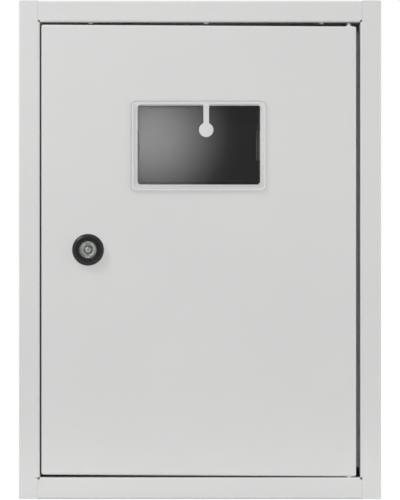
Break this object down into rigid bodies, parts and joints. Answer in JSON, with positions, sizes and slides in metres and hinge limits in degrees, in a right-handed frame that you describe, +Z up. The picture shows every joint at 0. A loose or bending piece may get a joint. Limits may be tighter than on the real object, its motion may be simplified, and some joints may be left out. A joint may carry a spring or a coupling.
{
  "type": "electric meter box",
  "caption": "Wall-mounted sheet-steel meter box with a hinged door, a clear viewing window and a quarter-turn lock, and an inner meter plate with a mounting rail.",
  "frame": {"origin": "centre of the outer face of the back, on the wall plane and in the middle of the wall fixing holes", "axes": "+X to the right seen from the front, +Y into the wall, +Z up"},
  "size_m": [0.32, 0.1556, 0.44],
  "materials": {
    "grey_coat": "light grey semi-gloss powder coat",
    "dark_coat": "dark grey semi-gloss paint",
    "galvanised": "galvanised sheet",
    "zinc_plate": "zinc-plated steel",
    "clear_plastic": "clear moulded plastic",
    "black_plastic": "black moulded plastic",
    "die_cast_zinc": "die-cast zinc"
  },
  "bodies": {
    "body": {"body_wrapper": "grey_coat", "top_panel": "grey_coat", "bottom_panel": "grey_coat", "body_earth_stud": "zinc_plate", "body_earth_nut": "zinc_plate", "meter_plate": "dark_coat", "plate_standoffs": "zinc_plate", "plate_nuts": "zinc_plate", "din_rail": "galvanised", "din_rail_screws": "zinc_plate"},
    "door": {"door_panel": "grey_coat", "window": "clear_plastic", "hinge_pin_top": "grey_coat", "hinge_pin_bottom": "grey_coat", "lock_housing": "black_plastic", "lock_nut": "zinc_plate", "door_earth_stud": "zinc_plate", "door_earth_nut": "zinc_plate"},
    "lock_rotor": {"lock_core": "die_cast_zinc", "lock_cam": "zinc_plate", "cam_screw": "zinc_plate"}
  },
  "joints": [
    {"name": "door_hinge", "type": "hinge", "parent": "body", "child": "door", "pos_m": [0.1316, -0.144, 0], "axis": [0, 0, 1], "range_deg": [0, 110]},
    {"name": "lock_turn", "type": "hinge", "parent": "door", "child": "lock_rotor", "pos_m": [-0.0987, -0.15, 0], "axis": [0, 1, 0], "range_deg": [0, 90]}
  ]
}
